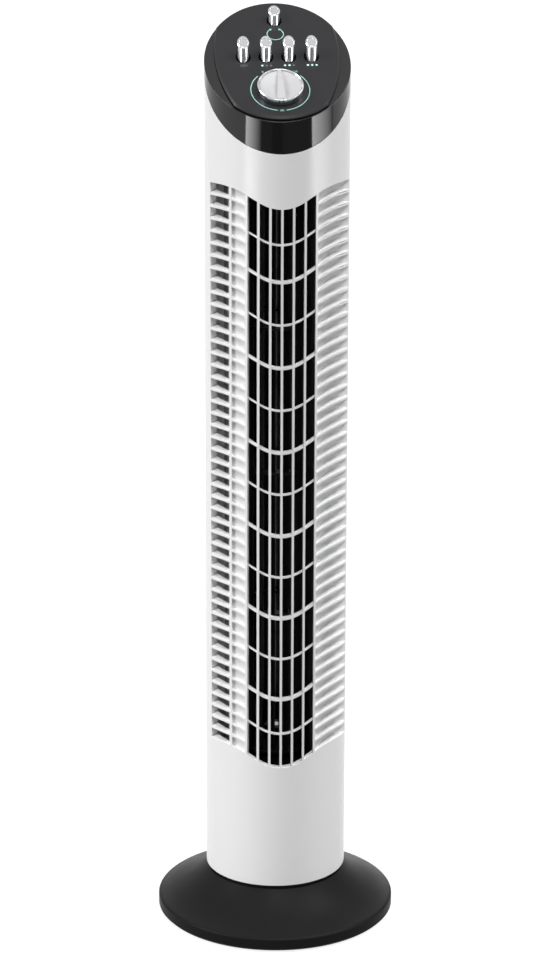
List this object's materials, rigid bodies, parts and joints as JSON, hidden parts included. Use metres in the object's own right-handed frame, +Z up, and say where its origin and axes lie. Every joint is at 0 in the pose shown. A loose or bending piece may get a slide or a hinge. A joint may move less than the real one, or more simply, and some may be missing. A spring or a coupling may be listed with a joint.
{
  "type": "tower fan",
  "caption": "Free-standing tower fan: round column with an upright front grille and curved louvres, flared round base, slanted control head with push buttons and a timer knob.",
  "frame": {"origin": "on the floor under the column's axis, at the centre of the base's underside", "axes": "+Z up along the column, front with the grille towards -Y, +X to the right seen from the front"},
  "size_m": [0.197, 0.197, 0.7632],
  "materials": {
    "white_abs": "moulded gloss ABS",
    "black_gloss": "moulded gloss ABS",
    "panel_grey": "fine satin ABS",
    "black_plastic": "plain moulded polypropylene",
    "grey_plastic": "plain moulded plastic",
    "rubber": "plain",
    "steel": "zinc plated",
    "chrome": "polished plating",
    "satin_silver": "satin",
    "bronze": "sintered"
  },
  "bodies": {
    "base": {"base_cover": "black_gloss", "base_plate": "black_plastic", "rubber_feet": "rubber", "base_screws": "steel", "cord_gland": "rubber", "swivel_post": "steel", "swivel_washer": "steel", "swivel_nut": "steel", "thrust_ring": "black_plastic"},
    "column": {"bottom_plate": "black_plastic", "front_housing": "white_abs", "rear_housing": "white_abs", "housing_screws": "steel", "lower_deck": "black_plastic", "upper_deck": "black_plastic", "motor_lower_shell": "steel", "motor_upper_shell": "steel", "stator_core": "steel", "stator_insulation": "grey_plastic", "motor_screws": "steel", "bearing_bush": "bronze", "bearing_holder": "rubber", "scroll_wall": "black_plastic", "tongue_wall": "black_plastic", "swing_motor": "steel", "swing_motor_screws": "steel", "run_capacitor": "grey_plastic", "head_cap": "black_gloss", "head_screws": "steel", "control_panel": "panel_grey", "switch_block": "black_plastic", "swing_switch": "black_plastic", "switch_screws": "steel", "timer_unit": "grey_plastic"},
    "impeller": {"impeller": "black_plastic", "motor_rotor": "steel", "impeller_pin": "steel"},
    "swing_crank": {"swing_crank": "grey_plastic"},
    "button_off": {"speed_button_off": "chrome"},
    "button_low": {"speed_button_low": "chrome"},
    "button_mid": {"speed_button_mid": "chrome"},
    "button_high": {"speed_button_high": "chrome"},
    "button_swing": {"swing_button": "chrome"},
    "timer": {"timer_knob": "satin_silver", "timer_knob_ring": "chrome"}
  },
  "joints": [
    {"name": "swing", "type": "hinge", "parent": "base", "child": "column", "pos_m": [0, 0, 0.042], "axis": [0, 0, 1], "range_deg": [-35, 35]},
    {"name": "crank_turn", "type": "hinge", "parent": "column", "child": "swing_crank", "pos_m": [0, 0.0282, 0.0402], "axis": [0, 0, 1], "range_deg": [-97.5, 97.5]},
    {"name": "impeller_spin", "type": "hinge", "parent": "column", "child": "impeller", "pos_m": [0, 0.007, 0.39], "axis": [0, 0, 1], "continuous": true},
    {"name": "timer_turn", "type": "hinge", "parent": "column", "child": "timer", "pos_m": [0, -0.0306, 0.71118], "axis": [0, 0.5075, -0.8616], "range_deg": [0, 320]},
    {"name": "button_off_press", "type": "slide", "parent": "column", "child": "button_off", "axis": [0, 0, -1], "range_m": [0, 0.004], "stiffness_N_per_m": 400, "springref_m": -0.002},
    {"name": "button_low_press", "type": "slide", "parent": "column", "child": "button_low", "axis": [0, 0, -1], "range_m": [0, 0.004], "stiffness_N_per_m": 400, "springref_m": -0.002},
    {"name": "button_mid_press", "type": "slide", "parent": "column", "child": "button_mid", "axis": [0, 0, -1], "range_m": [0, 0.004], "stiffness_N_per_m": 400, "springref_m": -0.002},
    {"name": "button_high_press", "type": "slide", "parent": "column", "child": "button_high", "axis": [0, 0, -1], "range_m": [0, 0.004], "stiffness_N_per_m": 400, "springref_m": -0.002},
    {"name": "button_swing_press", "type": "slide", "parent": "column", "child": "button_swing", "axis": [0, 0, -1], "range_m": [0, 0.004], "stiffness_N_per_m": 400, "springref_m": -0.002}
  ],
  "couplings": [
    {"joint": "crank_turn", "follows": "swing", "ratio": -2.7714}
  ]
}
